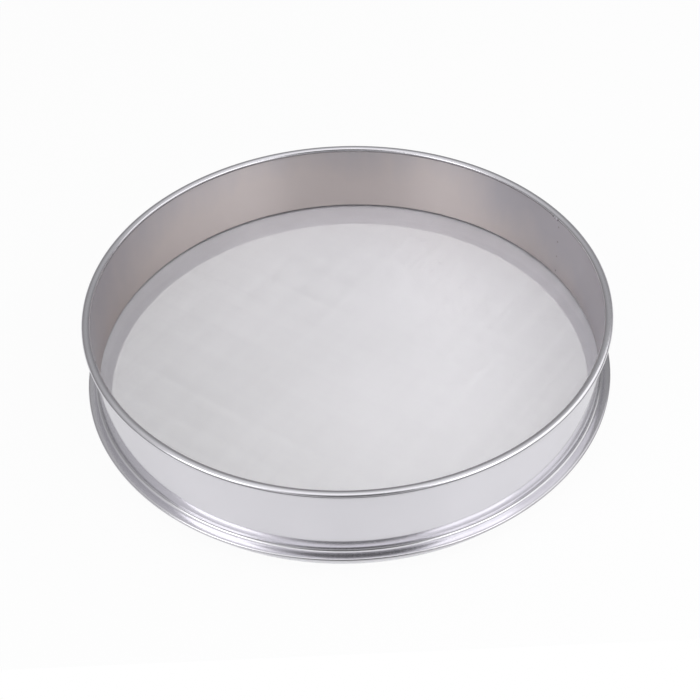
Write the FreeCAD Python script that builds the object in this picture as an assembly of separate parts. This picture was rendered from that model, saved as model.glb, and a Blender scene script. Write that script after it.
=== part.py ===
"""Tamis drum sieve: a wired steel drum, hemmed at its foot round a woven screen and the base ring under it.

Millimetres. Z is the drum's axis, pointing up through the open top, and Z = 0 is the surface it stands on.
The drum and the base ring are strips of sheet, bent in section and swept once round the axis. On a ring this
wide a true arc in so thin a section takes thousands of facets, so every bend is drawn in a few flats that
are tangent to it: the outsides stay at their real sizes.
"""
import FreeCAD
import Part
import math
import os

# Overall sizes
rim_diameter = 300.0
overall_height = 57.9
screen_height = 10.6

# Sheet, wire and cloth
drum_sheet = 0.5
base_sheet = 0.5
screen_thickness = 0.4
bead_diameter = 4.8

# How far the bead stands in from the wall and the hem out, the base hoop's step and the lip to stand on
bead_inset = 0.8
hem_overhang = 6.5
hoop_step = 0.5
lip_width = 6.0

# Screen: the plain grid that stands for the cloth, with the cloth's open share of each pitch
openings_across = 10
opening_share = 0.6

# Bend radii on the inside of the sheet
foot_bend_radius = 1.8
lip_bend_radius = 1.5

# Turns in degrees: the rim's curl and the neck under it, the hem's rise at the wall's foot and at its fold,
# the flats of a bend
curl_turn = 270.0
neck_turn = 45.0
foot_rise_turn = 18.0
fold_rise_turn = 6.0
flat_turn = 45.0

# Clearances
wire_clearance = 0.1
curl_gap = 0.2
hem_edge_clearance = 0.15
raw_edge_gap = 0.25

# Radii of the drum's wall
wall_inner_radius = rim_diameter / 2 - bead_diameter + bead_inset
wall_outer_radius = wall_inner_radius + drum_sheet
wall_middle_radius = wall_inner_radius + drum_sheet / 2

# The curled rim, and the neck below it that leads from the wall in to the bead
bead_radius = bead_diameter / 2
curl_inside_radius = bead_radius - drum_sheet
bead_circle_radius = rim_diameter / 2 - bead_radius
bead_height = overall_height - bead_radius
wire_radius = curl_inside_radius - wire_clearance
curl_circle = curl_inside_radius + drum_sheet / 2
neck_lean = math.radians(neck_turn)
neck_circle = bead_inset / (1 - math.cos(neck_lean)) - curl_circle
neck_bend_radius = neck_circle - drum_sheet / 2
neck_foot = bead_height - (neck_circle + curl_circle) * math.sin(neck_lean)

# The base hoop under the hem, and the lip
hoop_outer_radius = wall_outer_radius + hoop_step
hoop_middle_radius = hoop_outer_radius - base_sheet / 2
lip_inner_radius = hoop_outer_radius - lip_width

# Levels of the hem, from its lowest layer up: the drum's return, base flange, screen, the drum's foot
return_middle = screen_height - base_sheet - drum_sheet / 2
base_flange_middle = screen_height - base_sheet / 2
screen_top = screen_height + screen_thickness
foot_middle = screen_top + drum_sheet / 2

# The crown of the hem, which rises from the wall's foot ever less steeply until it turns into the fold
foot_rise = math.radians(foot_rise_turn)
fold_rise = math.radians(fold_rise_turn)
foot_circle = foot_bend_radius + drum_sheet / 2
crown_foot_radius = wall_middle_radius + foot_circle * (1 + math.sin(foot_rise))
crown_foot_level = foot_middle + foot_circle * (1 - math.cos(foot_rise))
fold_outer_middle = wall_outer_radius + hem_overhang - drum_sheet / 2
crown_climb = math.tan((foot_rise + fold_rise) / 2)
crown_room = fold_outer_middle - crown_foot_radius
fold_room = crown_foot_level - return_middle + crown_climb * crown_room
fold_circle = fold_room / (1 + math.cos(fold_rise) + crown_climb * (1 + math.sin(fold_rise)))
crown_reach = crown_room - fold_circle * (1 + math.sin(fold_rise))
crown_circle = crown_reach / (math.sin(foot_rise) - math.sin(fold_rise))
fold_inside_radius = fold_circle - drum_sheet / 2
crown_inside_radius = crown_circle - drum_sheet / 2
fold_centre_radius = fold_outer_middle - fold_circle

# The edges in the hem: the screen's and base flange's, and the drum's own under them
trapped_edge_radius = fold_centre_radius - hem_edge_clearance
raw_edge_radius = hoop_outer_radius + raw_edge_gap


def section_point(radius, height):
    return FreeCAD.Vector(radius, 0, height)


def direction(heading):
    """Unit vector in the section plane, heading in degrees from outward towards up."""
    angle = math.radians(heading)
    return section_point(math.cos(angle), math.sin(angle))


def run(length):
    """A flat stretch of a strip."""
    return [(length, 0)]


def bend(turn, inside_radius, sheet):
    """A bend by turn degrees, positive to the left, as corners between flats tangent to its middle line."""
    corners = max(1, round(abs(turn) / flat_turn))
    step = turn / corners
    half_flat = (inside_radius + sheet / 2) * math.tan(math.radians(abs(step) / 2))
    return [(half_flat, step), (half_flat, 0)] * corners


def crease(turn):
    """A sharp bend by turn degrees at one corner."""
    return [(0, turn)]


def strip_section(start, heading, moves, sheet):
    """Section of a bent strip, followed along its middle line from start, which sets off along heading."""
    left = []
    right = []

    def add_corner(middle, turn):
        reach = sheet / 2 / math.cos(math.radians(turn / 2))
        across = direction(heading + turn / 2 + 90) * reach
        left.append(middle + across)
        right.insert(0, middle - across)

    here = start
    add_corner(here, 0)
    for length, turn in moves:
        here = here + direction(heading) * length
        if turn:
            add_corner(here, turn)
            heading += turn
    add_corner(here, 0)
    outline = left + right
    return Part.Face(Part.makePolygon(outline + outline[:1]))


def swept_round(face):
    """Solid of revolution of a section about the drum's axis."""
    return face.revolve(FreeCAD.Vector(0, 0, 0), FreeCAD.Vector(0, 0, 1), 360)


def drum_hoop():
    """Hem with its return, round the foot into the wall, and the rim that is curled outward over the wire."""
    moves = (
        run(fold_centre_radius - raw_edge_radius)
        + bend(90, fold_inside_radius, drum_sheet)
        + bend(90 + fold_rise_turn, fold_inside_radius, drum_sheet)
        + bend(foot_rise_turn - fold_rise_turn, crown_inside_radius, drum_sheet)
        + bend(-foot_rise_turn, foot_bend_radius, drum_sheet)
        + bend(-90, foot_bend_radius, drum_sheet)
        + run(neck_foot - foot_middle - foot_circle)
        + bend(neck_turn, neck_bend_radius, drum_sheet)
        + bend(-neck_turn - curl_turn, curl_inside_radius, drum_sheet)
        + run(bead_circle_radius - wall_outer_radius - curl_gap)
    )
    start = section_point(raw_edge_radius, return_middle)
    return swept_round(strip_section(start, 0, moves, drum_sheet))


def rim_wire():
    """Stiffening wire inside the curl, in as many flats as the curl's full turn."""
    flats = round(360 / flat_turn)
    step = 360 / flats
    centre = section_point(bead_circle_radius, bead_height)
    corner_radius = wire_radius / math.cos(math.radians(step / 2))
    corners = [centre + direction(step * (place + 0.5)) * corner_radius for place in range(flats)]
    return swept_round(Part.Face(Part.makePolygon(corners + corners[:1])))


def mesh_screen():
    """Wire cloth, as a grid of square openings in a disc of its woven thickness, with its edge in the hem."""
    disc = Part.makeCylinder(trapped_edge_radius, screen_thickness, section_point(0, screen_height))
    pitch = 2 * wall_inner_radius / openings_across
    width = opening_share * pitch
    starts = [place * pitch + (pitch - width) / 2 - wall_inner_radius for place in range(openings_across)]
    openings = []
    for x in starts:
        for y in starts:
            far_corner = math.hypot(max(-x, x + width), max(-y, y + width))
            if far_corner < wall_inner_radius:
                corner = FreeCAD.Vector(x, y, screen_height)
                openings.append(Part.makeBox(width, width, screen_thickness, corner))
    return disc.cut(openings).Solids[0]


def base_ring():
    """Flange that is caught in the hem, the short hoop below it and the lip that the sieve stands on."""
    lip_circle = lip_bend_radius + base_sheet / 2
    moves = (
        run(trapped_edge_radius - hoop_middle_radius)
        + crease(90)
        + run(base_flange_middle - lip_circle - base_sheet / 2)
        + bend(-90, lip_bend_radius, base_sheet)
        + run(hoop_middle_radius - lip_circle - lip_inner_radius)
    )
    start = section_point(trapped_edge_radius, base_flange_middle)
    return swept_round(strip_section(start, 180, moves, base_sheet))


def main():
    os.makedirs("parts", exist_ok=True)
    pieces = {
        "drum_hoop": drum_hoop(),
        "rim_wire": rim_wire(),
        "mesh_screen": mesh_screen(),
        "base_ring": base_ring(),
    }
    for node, solid in pieces.items():
        solid.exportStep("parts/" + node + ".step")
        box = solid.BoundBox
        sizes = [round(size, 2) for size in (box.XMax, box.YMax, box.ZMin, box.ZMax)]
        print(node, solid.ShapeType, solid.isValid(), round(solid.Volume), sizes)


main()
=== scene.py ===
"""Tamis drum sieve as photographed: polished steel drum, woven wire screen and the base ring in its hem.

Metres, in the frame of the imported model: Z is the drum's axis and Z = 0 is the surface it stands on.
The camera stands on the side of negative Y.
"""
import math
import random

import bpy
from mathutils import Matrix, Vector

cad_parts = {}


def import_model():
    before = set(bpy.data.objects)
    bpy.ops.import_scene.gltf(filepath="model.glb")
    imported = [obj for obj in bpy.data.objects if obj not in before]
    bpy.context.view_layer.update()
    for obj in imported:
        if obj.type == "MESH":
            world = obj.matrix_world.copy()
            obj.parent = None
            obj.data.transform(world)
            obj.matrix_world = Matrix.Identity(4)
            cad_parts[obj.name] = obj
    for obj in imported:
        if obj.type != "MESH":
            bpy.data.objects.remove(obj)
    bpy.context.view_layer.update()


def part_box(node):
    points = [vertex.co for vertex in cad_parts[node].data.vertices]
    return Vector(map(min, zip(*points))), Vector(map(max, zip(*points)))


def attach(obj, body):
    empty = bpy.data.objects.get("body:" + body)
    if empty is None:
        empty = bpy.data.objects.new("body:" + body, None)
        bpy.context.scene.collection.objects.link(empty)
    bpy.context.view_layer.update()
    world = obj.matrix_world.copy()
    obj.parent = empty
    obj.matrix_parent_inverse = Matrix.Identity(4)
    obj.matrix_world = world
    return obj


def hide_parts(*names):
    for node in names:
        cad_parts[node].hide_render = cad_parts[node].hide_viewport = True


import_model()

MM = 0.001

# Sizes read from the frame
wire_low, wire_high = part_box("rim_wire")
drum_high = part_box("drum_hoop")[1]
screen_low, screen_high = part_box("mesh_screen")
wire_radius = (wire_high[2] - wire_low[2]) / 2
bead_height = (wire_high[2] + wire_low[2]) / 2
bead_circle_radius = wire_high[0] - wire_radius
bead_radius = drum_high[2] - bead_height
hem_radius = drum_high[0]
trapped_edge_radius = screen_high[0]
screen_bottom = screen_low[2]
screen_top = screen_high[2]

# Sheet, bends and gaps as in the solids, with turns in degrees
sheet = 0.5 * MM
foot_bend_radius = 1.8 * MM
lip_bend_radius = 1.5 * MM
bead_inset = 0.8 * MM
hoop_step = 0.5 * MM
lip_width = 6.0 * MM
curl_gap = 0.2 * MM
raw_edge_gap = 0.25 * MM
curl_turn = 270
neck_turn = 45

# Forms finer than in the solids: the small bend above the base ring's hoop, the hem's rise at the wall's
# foot and its fall at the fold in degrees, and the curl, pressed flatter than a circle from its top down
hoop_top_bend_radius = 0.3 * MM
foot_rise_turn = 14
fold_rise_turn = -6
rim_flatness = 0.78

# The base ring holds the drum's foot round, and the free rim is a little oval
rim_oval = 0.8 * MM
oval_angle = math.radians(-44)

# Radii and levels that follow from these sizes
wall_inner_radius = bead_circle_radius - bead_radius + bead_inset
wall_middle_radius = wall_inner_radius + sheet / 2
wall_outer_radius = wall_inner_radius + sheet
hoop_outer_radius = wall_outer_radius + hoop_step
hoop_middle_radius = hoop_outer_radius - sheet / 2
lip_inner_radius = hoop_outer_radius - lip_width
return_middle = screen_bottom - sheet * 1.5
base_flange_middle = screen_bottom - sheet / 2
screen_middle = (screen_bottom + screen_top) / 2
foot_middle = screen_top + sheet / 2
foot_circle = foot_bend_radius + sheet / 2
curl_circle = bead_radius - sheet / 2
neck_lean = math.radians(neck_turn)
neck_circle = bead_inset / (1 - math.cos(neck_lean)) - curl_circle
neck_foot = bead_height - (neck_circle + curl_circle) * math.sin(neck_lean)
rim_top = bead_height + bead_radius
wall_middle_level = (foot_middle + neck_foot) / 2
wall_half_height = (neck_foot - foot_middle) / 2

# Fineness of the meshes: steps round the drum, degrees of a bend for each step, points close to the ends of
# flat runs that keep the shading even, sides and rings, and how near two points count as one
turn_steps = 540
bend_step = 9
least_bend_steps = 6
support_inset = 0.12 * MM
rim_wire_sides = 12
cloth_wire_sides = 6
weld_sides = 20
weld_rings = 4
same_point = 0.0001 * MM

# Edges that turn by more degrees than this stay sharp
turned_sharp_edge = 50
cloth_sharp_edge = 70
weld_sharp_edge = 60

# Woven screen: its wires lie a little unevenly, by chance and in slow waves that are counted in wires
wire_pitch = 0.5 * MM
cloth_wire_radius = 0.1 * MM
wire_span = 12 * MM
wire_jitter = 0.05
sway_periods = (9, 14, 23, 41)
sway_share = 0.006
warp_angle = math.radians(53)
weft_angle = warp_angle + math.pi / 2
warp_seed = 3
weft_seed = 4

# Spot welds of the lap joint inside the wall
joint_angle = math.radians(26.1)
spot_heights = (16 * MM, 27.3 * MM, 38.7 * MM, 50 * MM)
spot_radius = 0.8 * MM
spot_rise = 0.07 * MM
spot_root = sheet / 4

# The tack that closes the rim above them, and the pits in it
tack_radius = bead_circle_radius - bead_radius
tack_angle = math.radians(27.1)
tack_half_length = 4.2 * MM
tack_half_height = 1.1 * MM
tack_rise = 0.3 * MM
tack_drop = 0.3 * MM
pit_turns = (math.radians(-1.0), math.radians(0.1), math.radians(0.9))
pit_radius = 0.6 * MM
pit_rise = 0.02 * MM

# Painted shade in the crease under the rim, as shares of the bead's radius below and above its middle
crease_below = 0.35
crease_above = 0.17

# Rolling marks: how dense they are along their lines and across, and how high they stand
mark_density_along = 12
mark_density_across = 2600
mark_height = 0.02 * MM

# What most values of a noise lie between, and a shine drawn out across the rolling marks instead of along
noise_low = 0.3
noise_high = 0.7
across_marks = 0.25

# Faint sheen over the outside
haze_roughness = 0.42
haze_grain = 0.95

# White board under the drum: its edges, its paper, and how much plain white the camera and mirrors see of it
floor_half_width = 0.7
floor_front = -0.202
floor_back = 0.9
floor_paper = 0.9
floor_seen = 0.93
floor_mirrored = 0.5

# Studio: the strength of its light by how far a direction goes with the top's, and the dim part in front,
# where the camera stands. Tilts are in degrees from straight up, and below zero they lean to its side
top_tilt = -20
top_light = ((0, 0.26), (0.3, 0.33), (0.6, 0.61), (0.9, 1.07), (1, 1.34))
light_blue = 1.01
stand_tilt = -50
stand_edge = 0.88
stand_middle = 0.96
stand_light = 0.07
studio_mirrored = 0.06

# Camera, fitted to the photo's 700 x 700 frame
view_elevation = math.radians(42.97)
view_roll = math.radians(-2.52)
view_distance = 815.9 * MM
view_target = Vector((1.03 * MM, 0, 15.75 * MM))
view_start = 10 * MM
frame_pixels = 700
focal_pixels = 1384.8
sensor_width = 36.0


def direction(heading):
    """Unit vector in the section plane, heading in degrees from outward towards up."""
    angle = math.radians(heading)
    return Vector((math.cos(angle), math.sin(angle)))


def run(length):
    """Flat stretch of a strip."""
    return "run", length, 0


def bend(turn, inside_radius):
    """Bend of a strip by a turn in degrees, positive to the left."""
    return "bend", inside_radius + sheet / 2, turn


def strip_sides(start, heading, moves):
    """Points of both sides of a bent strip, left and right of its middle line."""
    left = []
    right = []

    def add(middle, toward):
        across = direction(toward + 90) * (sheet / 2)
        left.append(middle + across)
        right.append(middle - across)

    here = Vector(start)
    add(here, heading)
    for kind, size, turn in moves:
        if kind == "run":
            ahead = direction(heading)
            inset = min(support_inset, size / 3)
            for distance in (0, inset, size - inset, size):
                add(here + ahead * distance, heading)
            here = here + ahead * size
        else:
            hand = math.copysign(1, turn)
            centre = here + direction(heading + 90) * (hand * size)
            steps = max(least_bend_steps, round(abs(turn) / bend_step))
            for step in range(1, steps):
                toward = heading + turn * step / steps
                add(centre + direction(toward - hand * 90) * size, toward)
            heading += turn
            here = centre + direction(heading - hand * 90) * size
            add(here, heading)
    return left, right


def without_repeats(points):
    """The same points with neighbours that coincide taken once."""
    kept = []
    for point in points:
        if not kept or (point - kept[-1]).length > same_point:
            kept.append(point)
    return kept


def pressed(level):
    """Level in the curled rim after it is pressed flatter."""
    return rim_top - (rim_top - level) * rim_flatness


def pressed_rim(points):
    """Section points, with those from just under the rim's curl upward pressed flatter."""
    lowest = bead_height - bead_radius - sheet / 2
    return [Vector((spot.x, pressed(spot.y))) if spot.y > lowest else spot for spot in points]


def out_of_round(level, angle):
    """How far the drum stands out from a true circle."""
    share = max(0, (level - foot_middle) / (bead_height - foot_middle))
    return rim_oval * share * math.cos(2 * (angle - oval_angle))


def round_point(radius, angle, level):
    """Point on the drum, which is a little out of round."""
    wide = radius + out_of_round(level, angle)
    return wide * math.cos(angle), wide * math.sin(angle), level


def new_piece(name, points, faces, sharp_edge):
    """Smooth mesh object with the edges that turn by more than some degrees left sharp."""
    mesh = bpy.data.meshes.new(name)
    mesh.from_pydata(points, [], faces)
    mesh.shade_smooth()
    mesh.set_sharp_from_angle(angle=math.radians(sharp_edge))
    piece = bpy.data.objects.new(name, mesh)
    bpy.context.scene.collection.objects.link(piece)
    return piece


def turned(name, outline):
    """Mesh object of a closed section turned about the drum's axis."""
    count = len(outline)
    points = []
    for step in range(turn_steps):
        angle = 2 * math.pi * step / turn_steps
        points.extend(round_point(spot.x, angle, spot.y) for spot in outline)
    faces = []
    for step in range(turn_steps):
        here = step * count
        there = (step + 1) % turn_steps * count
        for spot in range(count):
            after = (spot + 1) % count
            faces.append((here + spot, there + spot, there + after, here + after))
    return new_piece(name, points, faces, turned_sharp_edge)


def drum_shell():
    """Hem with its return, round the foot into the wall, and the rim curled outward over the wire."""
    foot_rise = math.radians(foot_rise_turn)
    fold_rise = math.radians(fold_rise_turn)
    crown_foot_radius = wall_middle_radius + foot_circle * (1 + math.sin(foot_rise))
    crown_foot_level = foot_middle + foot_circle * (1 - math.cos(foot_rise))
    crown_climb = math.tan((foot_rise + fold_rise) / 2)
    crown_room = hem_radius - sheet / 2 - crown_foot_radius
    fold_room = crown_foot_level - return_middle + crown_climb * crown_room
    fold_circle = fold_room / (1 + math.cos(fold_rise) + crown_climb * (1 + math.sin(fold_rise)))
    crown_reach = crown_room - fold_circle * (1 + math.sin(fold_rise))
    crown_circle = crown_reach / (math.sin(foot_rise) - math.sin(fold_rise))
    fold_centre_radius = hem_radius - sheet / 2 - fold_circle
    raw_edge_radius = hoop_outer_radius + raw_edge_gap
    moves = [
        run(fold_centre_radius - raw_edge_radius),
        bend(180 + fold_rise_turn, fold_circle - sheet / 2),
        bend(foot_rise_turn - fold_rise_turn, crown_circle - sheet / 2),
        bend(-90 - foot_rise_turn, foot_bend_radius),
        run(neck_foot - foot_middle - foot_circle),
        bend(neck_turn, neck_circle - sheet / 2),
        bend(-neck_turn - curl_turn, bead_radius - sheet),
        run(bead_circle_radius - wall_outer_radius - curl_gap),
    ]
    left, right = strip_sides((raw_edge_radius, return_middle), 0, moves)
    return turned("drum_shell", without_repeats(pressed_rim(left + right[::-1])))


def wire_ring():
    """Stiffening wire inside the rim's curl."""
    centre = Vector((bead_circle_radius, bead_height))
    step = 360 / rim_wire_sides
    outline = [centre + direction(-step * side) * wire_radius for side in range(rim_wire_sides)]
    return turned("wire_ring", pressed_rim(outline))


def base_shell():
    """Flange that is caught in the hem, with the hoop and the lip below it."""
    hoop_top_circle = hoop_top_bend_radius + sheet / 2
    lip_circle = lip_bend_radius + sheet / 2
    moves = [
        run(trapped_edge_radius - hoop_middle_radius - hoop_top_circle),
        bend(90, hoop_top_bend_radius),
        run(base_flange_middle - hoop_top_circle - lip_circle - sheet / 2),
        bend(-90, lip_bend_radius),
        run(hoop_middle_radius - lip_circle - lip_inner_radius),
    ]
    left, right = strip_sides((trapped_edge_radius, base_flange_middle), 180, moves)
    return turned("base_shell", without_repeats(left + right[::-1]))


def cloth_wires(name, angle, level, seed):
    """One set of parallel wires of the screen, each cut off inside the hem."""
    draw = random.Random(seed)
    waves = [(period, draw.uniform(0, 2 * math.pi)) for period in sway_periods]
    along = Vector((math.cos(angle), math.sin(angle), 0))
    across = Vector((-math.sin(angle), math.cos(angle), 0))
    up = Vector((0, 0, 1))
    corners = [2 * math.pi * side / cloth_wire_sides for side in range(cloth_wire_sides)]
    section = [(across * math.cos(turn) + up * math.sin(turn)) * cloth_wire_radius for turn in corners]
    reach = trapped_edge_radius - wire_pitch
    count = int(reach / wire_pitch)
    points = []
    faces = []
    for place in range(-count, count + 1):
        sway = sum(sway_share * period * math.sin(2 * math.pi * place / period + phase)
                   for period, phase in waves)
        offset = (place + sway + draw.uniform(-wire_jitter, wire_jitter)) * wire_pitch
        if abs(offset) > reach - wire_pitch:
            continue
        half = math.sqrt(reach ** 2 - offset ** 2)
        spans = max(1, round(2 * half / wire_span))
        first = len(points)
        for step in range(spans + 1):
            middle = along * (half * (2 * step / spans - 1)) + across * offset + up * level
            points.extend(middle + corner for corner in section)
        for step in range(spans):
            here = first + step * cloth_wire_sides
            there = here + cloth_wire_sides
            for side in range(cloth_wire_sides):
                after = (side + 1) % cloth_wire_sides
                faces.append((here + side, here + after, there + after, there + side))
        last = first + spans * cloth_wire_sides
        faces.append(tuple(first + side for side in reversed(range(cloth_wire_sides))))
        faces.append(tuple(last + side for side in range(cloth_wire_sides)))
    return new_piece(name, points, faces, cloth_sharp_edge)


def weld_bump(name, wall, angle, height, half_length, half_height, rise, root):
    """Low dome of weld metal on the inside of a wall, with its back in the sheet."""
    points = []
    for ring in range(weld_rings + 1):
        share = ring / weld_rings
        depth = wall - rise * (1 - share ** 2) + root * (ring == weld_rings)
        for side in range(weld_sides):
            turn = 2 * math.pi * side / weld_sides
            place = angle + half_length / wall * share * math.cos(turn)
            level = height + half_height * share * math.sin(turn)
            points.append(round_point(depth, place, level))
    faces = []
    for ring in range(weld_rings):
        here = ring * weld_sides
        there = here + weld_sides
        for side in range(weld_sides):
            after = (side + 1) % weld_sides
            faces.append((here + side, there + side, there + after, here + after))
    faces.append(tuple(weld_rings * weld_sides + side for side in range(weld_sides)))
    return new_piece(name, points, faces, weld_sharp_edge)


def node_tree(owner):
    """Nodes and links of a material or a world."""
    owner.use_nodes = True
    return owner.node_tree.nodes, owner.node_tree.links


def number_maths(nodes, operation, second=None):
    """Node for one operation on numbers, with the second one set where it is a constant."""
    node = nodes.new("ShaderNodeMath")
    node.operation = operation
    if second is not None:
        node.inputs[1].default_value = second
    return node


def vector_maths(nodes, links, operation, vector, second=None):
    """Node for one operation on a vector, with the second one set where it takes one."""
    node = nodes.new("ShaderNodeVectorMath")
    node.operation = operation
    links.new(vector, node.inputs[0])
    if second is not None:
        node.inputs[1].default_value = second
    return node


def mixed_shaders(nodes, links, first, second):
    """Mix of two shaders, with the share of the second still to be set."""
    mix = nodes.new("ShaderNodeMixShader")
    links.new(first.outputs[0], mix.inputs[1])
    links.new(second.outputs[0], mix.inputs[2])
    return mix


def grey(strength):
    """Colour without a tint."""
    return strength, strength, strength, 1


def new_noise(nodes, dimensions, detail):
    """Noise at the scale of the place that it is given."""
    noise = nodes.new("ShaderNodeTexNoise")
    noise.noise_dimensions = dimensions
    noise.inputs["Scale"].default_value = 1
    noise.inputs["Detail"].default_value = detail
    return noise


def ring_marks(nodes, links):
    """Noise drawn out into lines round the drum's axis, on upright and on flat faces alike."""
    place = nodes.new("ShaderNodeTexCoord").outputs["Object"]
    density = (mark_density_along, mark_density_along, mark_density_across)
    stretched = vector_maths(nodes, links, "MULTIPLY", place, density)
    flat_density = (mark_density_across, mark_density_across, 0)
    flat = vector_maths(nodes, links, "MULTIPLY", place, flat_density)
    radius = vector_maths(nodes, links, "LENGTH", flat.outputs["Vector"])
    marks = new_noise(nodes, "4D", detail=3)
    links.new(stretched.outputs["Vector"], marks.inputs["Vector"])
    links.new(radius.outputs["Value"], marks.inputs["W"])
    return marks.outputs["Fac"]


def spoke_marks(nodes, links, count):
    """Noise drawn out into lines that run away from the drum's axis."""
    place = nodes.new("ShaderNodeTexCoord").outputs["Object"]
    turn = nodes.new("ShaderNodeTexGradient")
    turn.gradient_type = "RADIAL"
    dense = number_maths(nodes, "MULTIPLY", count)
    marks = new_noise(nodes, "1D", detail=2)
    links.new(place, turn.inputs["Vector"])
    links.new(turn.outputs["Fac"], dense.inputs[0])
    links.new(dense.outputs[0], marks.inputs["W"])
    return marks.outputs["Fac"]


def clouds(nodes, links, density):
    """Soft noise, as dense along each axis as asked."""
    place = nodes.new("ShaderNodeTexCoord").outputs["Object"]
    stretched = vector_maths(nodes, links, "MULTIPLY", place, density)
    noise = new_noise(nodes, "3D", detail=4)
    links.new(stretched.outputs["Vector"], noise.inputs["Vector"])
    return noise.outputs["Fac"]


def spread_to(nodes, links, value, low, high):
    """A noise value spread over a range."""
    spread = nodes.new("ShaderNodeMapRange")
    spread.inputs["From Min"].default_value = noise_low
    spread.inputs["From Max"].default_value = noise_high
    spread.inputs["To Min"].default_value = low
    spread.inputs["To Max"].default_value = high
    links.new(value, spread.inputs["Value"])
    return spread.outputs["Result"]


def tone_slope(reach, right, back, up=0):
    """Slope of a painted tone of light and shade that rises by so much over a reach to the right and back
    and over half the wall.
    """
    return right / reach, back / reach, up / wall_half_height


def shade_across(nodes, links, painted_slope, start, density, patchiness):
    """Painted light and shade: a tone that rises along a slope from its start at the object's origin, with
    soft patches on top.
    """
    place = nodes.new("ShaderNodeTexCoord").outputs["Object"]
    rise = vector_maths(nodes, links, "DOT_PRODUCT", place, painted_slope)
    cloud = clouds(nodes, links, density)
    patches = spread_to(nodes, links, cloud, start - patchiness, start + patchiness)
    tone = number_maths(nodes, "ADD")
    links.new(rise.outputs["Value"], tone.inputs[0])
    links.new(patches, tone.inputs[1])
    return tone.outputs[0]


def add_haze(nodes, links, shader, tangent, tint, share):
    """Lay a faint sheen over a finish, drawn out up and down the wall."""
    sheen = nodes.new("ShaderNodeBsdfPrincipled")
    sheen.inputs["Metallic"].default_value = 1
    sheen.inputs["Roughness"].default_value = haze_roughness
    sheen.inputs["Anisotropic"].default_value = haze_grain
    sheen.inputs["Anisotropic Rotation"].default_value = across_marks
    links.new(tangent.outputs["Tangent"], sheen.inputs["Tangent"])
    links.new(tint.outputs["Result"], sheen.inputs["Base Color"])
    mix = mixed_shaders(nodes, links, shader, sheen)
    mix.inputs["Fac"].default_value = share
    links.new(mix.outputs[0], nodes["Material Output"].inputs["Surface"])


def steel(name, colour, roughness, grain, line_depth=0.0, line_share=0.2, cloud_and_shade_depth=0.05,
          cloud_density=(28, 28, 28), spokes=0, painted_slope=None, painted_slope_start=0.5, patchiness=0.04,
          grain_turn=across_marks, haze=0.0, cloud_and_shade_tint=(1, 1, 1)):
    """Rolled stainless sheet: fine lines round the axis or away from it, a slight cloudiness, and painted
    light and shade along any slope given.
    """
    material = bpy.data.materials.new(name)
    nodes, links = node_tree(material)
    shader = nodes["Principled BSDF"]
    shader.inputs["Metallic"].default_value = 1
    shader.inputs["Anisotropic"].default_value = grain
    shader.inputs["Anisotropic Rotation"].default_value = grain_turn
    tangent = nodes.new("ShaderNodeTangent")
    tangent.direction_type = "RADIAL"
    tangent.axis = "Z"
    links.new(tangent.outputs["Tangent"], shader.inputs["Tangent"])
    tint = nodes.new("ShaderNodeMix")
    tint.data_type = "RGBA"
    tint.inputs["A"].default_value = (*(channel * (1 - cloud_and_shade_depth) for channel in colour), 1)
    tinted = [channel * share for channel, share in zip(colour, cloud_and_shade_tint)]
    tint.inputs["B"].default_value = (*(channel * (1 + cloud_and_shade_depth) for channel in tinted), 1)
    # With a slope, the tone is painted light and shade as well as clouds
    if painted_slope:
        cloud = shade_across(nodes, links, painted_slope, painted_slope_start, cloud_density, patchiness)
    else:
        cloud = clouds(nodes, links, cloud_density)
    links.new(spread_to(nodes, links, cloud, 0, 1), tint.inputs["Factor"])
    links.new(tint.outputs["Result"], shader.inputs["Base Color"])
    lines = spoke_marks(nodes, links, spokes) if spokes else ring_marks(nodes, links)
    low = roughness * (1 - line_share)
    high = roughness * (1 + line_share)
    links.new(spread_to(nodes, links, lines, low, high), shader.inputs["Roughness"])
    if line_depth:
        bump = nodes.new("ShaderNodeBump")
        bump.inputs["Strength"].default_value = line_depth
        bump.inputs["Distance"].default_value = mark_height
        links.new(lines, bump.inputs["Height"])
        links.new(bump.outputs["Normal"], shader.inputs["Normal"])
    if haze:
        add_haze(nodes, links, shader, tangent, tint, haze)
    return material


def camera_or_mirror(nodes, links, seen, mirrored):
    """A share for what the camera sees straight or through something clear, and one for mirrors."""
    path = nodes.new("ShaderNodeLightPath")
    clear = number_maths(nodes, "MAXIMUM")
    clear_share = number_maths(nodes, "MULTIPLY", seen)
    mirror_share = number_maths(nodes, "MULTIPLY", mirrored)
    either = number_maths(nodes, "MAXIMUM")
    links.new(path.outputs["Is Camera Ray"], clear.inputs[0])
    links.new(path.outputs["Is Transmission Ray"], clear.inputs[1])
    links.new(clear.outputs[0], clear_share.inputs[0])
    links.new(path.outputs["Is Glossy Ray"], mirror_share.inputs[0])
    links.new(clear_share.outputs[0], either.inputs[0])
    links.new(mirror_share.outputs[0], either.inputs[1])
    return either.outputs[0]


def floor():
    """White board that looks white and keeps a soft shadow."""
    mesh = bpy.data.meshes.new("floor")
    front_edge = [(-floor_half_width, floor_front, 0), (floor_half_width, floor_front, 0)]
    back_edge = [(floor_half_width, floor_back, 0), (-floor_half_width, floor_back, 0)]
    mesh.from_pydata(front_edge + back_edge, [], [(0, 1, 2, 3)])
    ground = bpy.data.objects.new("floor", mesh)
    bpy.context.scene.collection.objects.link(ground)
    material = bpy.data.materials.new("floor_white")
    nodes, links = node_tree(material)
    nodes.clear()
    out = nodes.new("ShaderNodeOutputMaterial")
    paper = nodes.new("ShaderNodeBsdfDiffuse")
    paper.inputs["Color"].default_value = grey(floor_paper)
    glow = nodes.new("ShaderNodeEmission")
    glow.inputs["Color"].default_value = grey(1)
    mix = mixed_shaders(nodes, links, paper, glow)
    links.new(camera_or_mirror(nodes, links, floor_seen, floor_mirrored), mix.inputs["Fac"])
    links.new(mix.outputs[0], out.inputs["Surface"])
    mesh.materials.append(material)


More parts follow.
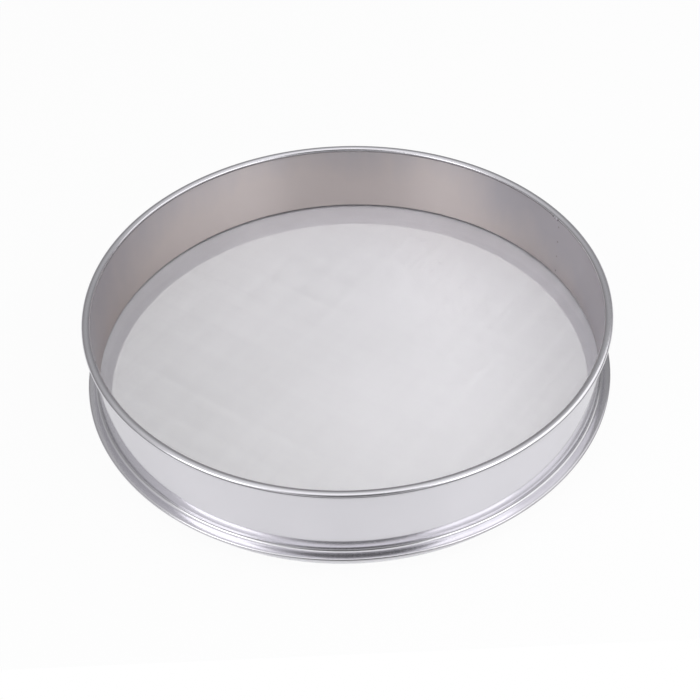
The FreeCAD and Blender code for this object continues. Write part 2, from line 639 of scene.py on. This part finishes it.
def share_along(nodes, links, toward, tilt):
    """How far a direction goes with one that is tilted backward from straight up, in degrees."""
    axis = Vector((0, math.tan(math.radians(tilt)), 1)).normalized()
    return vector_maths(nodes, links, "DOT_PRODUCT", toward, axis).outputs["Value"]


def rising_light(nodes, links, height, stops):
    """Nearly grey light by how high a direction points, as pairs of that height and the light's strength."""
    ramp = nodes.new("ShaderNodeValToRGB")
    elements = ramp.color_ramp.elements
    elements.remove(elements[1])
    for number, (place, strength) in enumerate(stops):
        stop = elements[0] if number == 0 else elements.new(place)
        stop.position = place
        stop.color = (strength, strength, strength * light_blue, 1)
    links.new(height, ramp.inputs["Fac"])
    return ramp.outputs["Color"]


def world():
    """Studio round the drum: white for the camera, else bright overhead and dim on the camera's side."""
    surround = bpy.data.worlds.new("studio")
    bpy.context.scene.world = surround
    nodes, links = node_tree(surround)
    nodes.clear()
    out = nodes.new("ShaderNodeOutputWorld")
    toward = nodes.new("ShaderNodeTexCoord").outputs["Generated"]
    lit = rising_light(nodes, links, share_along(nodes, links, toward, top_tilt), top_light)
    stand = nodes.new("ShaderNodeMapRange")
    stand.interpolation_type = "SMOOTHSTEP"
    stand.inputs["From Min"].default_value = stand_edge
    stand.inputs["From Max"].default_value = stand_middle
    links.new(share_along(nodes, links, toward, stand_tilt), stand.inputs["Value"])
    shaded = nodes.new("ShaderNodeMix")
    shaded.data_type = "RGBA"
    shaded.inputs["B"].default_value = grey(stand_light)
    links.new(stand.outputs["Result"], shaded.inputs["Factor"])
    links.new(lit, shaded.inputs["A"])
    room = nodes.new("ShaderNodeBackground")
    links.new(shaded.outputs["Result"], room.inputs["Color"])
    white = nodes.new("ShaderNodeBackground")
    white.inputs["Color"].default_value = grey(1)
    mix = mixed_shaders(nodes, links, room, white)
    links.new(camera_or_mirror(nodes, links, 1, studio_mirrored), mix.inputs["Fac"])
    links.new(mix.outputs[0], out.inputs["Surface"])


def softbox(name, azimuth, elevation, distance, width, height, brightness):
    """Lamp panel aimed at the drum, azimuth in degrees from the camera's side towards the right."""
    turn = math.radians(azimuth)
    rise = math.radians(elevation)
    away = Vector((math.sin(turn) * math.cos(rise), -math.cos(turn) * math.cos(rise), math.sin(rise)))
    data = bpy.data.lights.new(name, "AREA")
    data.shape = "RECTANGLE"
    data.size = width
    data.size_y = height
    data.energy = brightness * math.pi * width * height
    lamp = bpy.data.objects.new(name, data)
    lamp.location = away * distance
    lamp.rotation_euler = (-away).to_track_quat("-Z", "Y").to_euler()
    bpy.context.scene.collection.objects.link(lamp)


def camera():
    """Camera in front of the drum, with the photo's tilt to one side."""
    data = bpy.data.cameras.new("camera")
    data.sensor_width = sensor_width
    data.lens = focal_pixels / frame_pixels * sensor_width
    data.clip_start = view_start
    view = bpy.data.objects.new("camera", data)
    back = Vector((0, -math.cos(view_elevation), math.sin(view_elevation)))
    aim = (-back).to_track_quat("-Z", "Y").to_matrix().to_4x4()
    roll = Matrix.Rotation(view_roll, 4, "Z")
    view.matrix_world = Matrix.Translation(view_target + back * view_distance) @ aim @ roll
    bpy.context.scene.collection.objects.link(view)
    bpy.context.scene.camera = view


def dress(piece, material, slot, *nodes):
    """Give a piece its finish and tie it to the frame."""
    piece.data.materials.append(material)
    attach(piece, "root")
    if nodes:
        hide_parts(*nodes)


def finish_drum(piece, inside, rim, hem, crease_shade):
    """Give the drum's inside, rim and hem their own finishes, the inside with painted shade and reflection,
    and lay painted shade in the creases by the screen and the rim.
    """
    finishes = piece.data.materials
    for material in (inside, rim, hem, crease_shade):
        finishes.append(material)
    bend_radius = wall_middle_radius + foot_circle
    bend_level = foot_middle + foot_circle
    bend_shade_level = foot_middle + foot_circle / 2
    bead_middle = pressed(bead_height)
    bead_reach = bead_radius + sheet / 10
    crease_low = pressed(bead_height - bead_radius * crease_below)
    crease_high = pressed(bead_height + bead_radius * crease_above)
    for face in piece.data.polygons:
        level = face.center.z
        angle = math.atan2(face.center.y, face.center.x)
        radius = math.hypot(face.center.x, face.center.y) - out_of_round(level, angle)
        from_bend = math.hypot(radius - bend_radius, level - bend_level)
        from_bead = math.hypot(radius - bead_circle_radius, (level - bead_middle) / rim_flatness)
        # Painted shade: dark steel in the crease at the foot by the screen and in the crease under the rim
        if radius < bend_radius and level < bend_shade_level and from_bend > foot_circle:
            face.material_index = finishes.find(crease_shade.name)
        elif radius < wall_middle_radius and crease_low < level < crease_high:
            face.material_index = finishes.find(crease_shade.name)
        elif radius < wall_middle_radius and level < bead_middle:
            face.material_index = finishes.find(inside.name)
        elif from_bead < bead_reach:
            face.material_index = finishes.find(rim.name)
        elif level < bend_level:
            face.material_index = finishes.find(hem.name)


# Finishes
outside_steel = steel("outside_steel", colour=(0.78, 0.768, 0.808), roughness=0.09, grain=0.6,
                      line_depth=0.06, cloud_and_shade_depth=0.02, haze=0.2)
# The inside is a darker, warmer copy of the outside's steel. It grows lighter and warmer towards the back,
# and darker towards the top and a little towards the right: painted shade and reflection
inside_slope = tone_slope(wall_inner_radius, right=-0.1, back=0.5, up=-0.22)
inside_middle_tone = 0.25
inside_start = inside_middle_tone - inside_slope[2] * wall_middle_level
inside_shaded_steel = steel("inside_shaded_steel", colour=(0.655, 0.632, 0.658), roughness=0.4, grain=0.9,
                     line_share=0.04, cloud_and_shade_depth=0.07, cloud_density=(26, 26, 9), painted_slope=inside_slope,
                     painted_slope_start=inside_start, patchiness=0.18, cloud_and_shade_tint=(1.04, 0.985, 0.915))
rim_steel = steel("rim_steel", colour=(0.71, 0.7, 0.735), roughness=0.2, grain=0.5,
                  line_depth=0.1, cloud_and_shade_depth=0.04, grain_turn=0)
# The hem grows darker towards the right and a little towards the back: painted shade
hem_steel = steel("hem_steel", colour=(0.63, 0.622, 0.65), roughness=0.22, grain=0.4,
                  line_depth=0.06, spokes=1400, cloud_and_shade_depth=0.13, patchiness=0.1,
                  painted_slope=tone_slope(hem_radius, right=-0.25, back=-0.1))
# Dark steel for the creases at the foot and under the rim: painted shade
crease_shade_steel = steel("crease_shade_steel", colour=(0.36, 0.345, 0.35), roughness=0.5, grain=0, cloud_and_shade_depth=0.2)
base_steel = steel("base_steel", colour=(0.95, 0.948, 0.968), roughness=0.75, grain=0, line_depth=0.2)
# The screen grows lighter towards the right and a little towards the back: painted light and shade
cloth_steel = steel("cloth_steel", colour=(0.862, 0.848, 0.878), roughness=0.4, grain=0,
                    cloud_and_shade_depth=0.138, cloud_density=(14, 14, 14), painted_slope_start=0.56,
                    painted_slope=tone_slope(wall_inner_radius, right=0.36, back=0.06))
wire_steel = steel("wire_steel", colour=(0.6, 0.6, 0.6), roughness=0.3, grain=0.6, line_depth=0.1)
weld_steel = steel("weld_steel", colour=(0.42, 0.38, 0.37), roughness=0.4, grain=0.6,
                   line_depth=0.2, cloud_and_shade_depth=0.2)
pit_steel = steel("pit_steel", colour=(0.1, 0.095, 0.1), roughness=0.6, grain=0, cloud_and_shade_depth=0.3)

# Drum and base ring
drum = drum_shell()
dress(drum, outside_steel, "drum_steel", "drum_hoop")
finish_drum(drum, inside_shaded_steel, rim_steel, hem_steel, crease_shade_steel)
dress(base_shell(), base_steel, "base_steel", "base_ring")

# Screen, with one set of wires lying on the other
warp = cloth_wires("screen_warp", warp_angle, screen_middle + cloth_wire_radius, warp_seed)
weft = cloth_wires("screen_weft", weft_angle, screen_middle - cloth_wire_radius, weft_seed)
dress(warp, cloth_steel, "screen_steel", "mesh_screen")
dress(weft, cloth_steel, "screen_steel")

# Weld marks of the lap joint, and the wire in the rim
for number, height in enumerate(spot_heights):
    spot = weld_bump("spot_weld_%d" % number, wall_inner_radius, joint_angle, height,
                     half_length=spot_radius, half_height=spot_radius, rise=spot_rise, root=spot_root)
    dress(spot, weld_steel, "drum_steel")
tack_height = pressed(bead_height - tack_drop)
tack = weld_bump("rim_tack", tack_radius, tack_angle, tack_height, half_length=tack_half_length,
                 half_height=tack_half_height, rise=tack_rise, root=bead_inset)
dress(tack, rim_steel, "drum_steel")
for number, turn in enumerate(pit_turns):
    pit = weld_bump("tack_pit_%d" % number, tack_radius - tack_rise, tack_angle + turn, tack_height,
                    half_length=pit_radius, half_height=pit_radius, rise=pit_rise, root=tack_rise)
    dress(pit, pit_steel, "drum_steel")
dress(wire_ring(), wire_steel, "wire_steel", "rim_wire")

# Studio
floor()
world()
softbox("front_right", azimuth=47, elevation=36, distance=0.8, width=0.4, height=0.4, brightness=1.55)
softbox("side_right", azimuth=92, elevation=36, distance=0.8, width=0.7, height=0.5, brightness=0.9)
softbox("front_left", azimuth=-56, elevation=36, distance=1.1, width=0.5, height=0.55, brightness=1.8)
camera()

bpy.context.scene.view_settings.view_transform = "Standard"
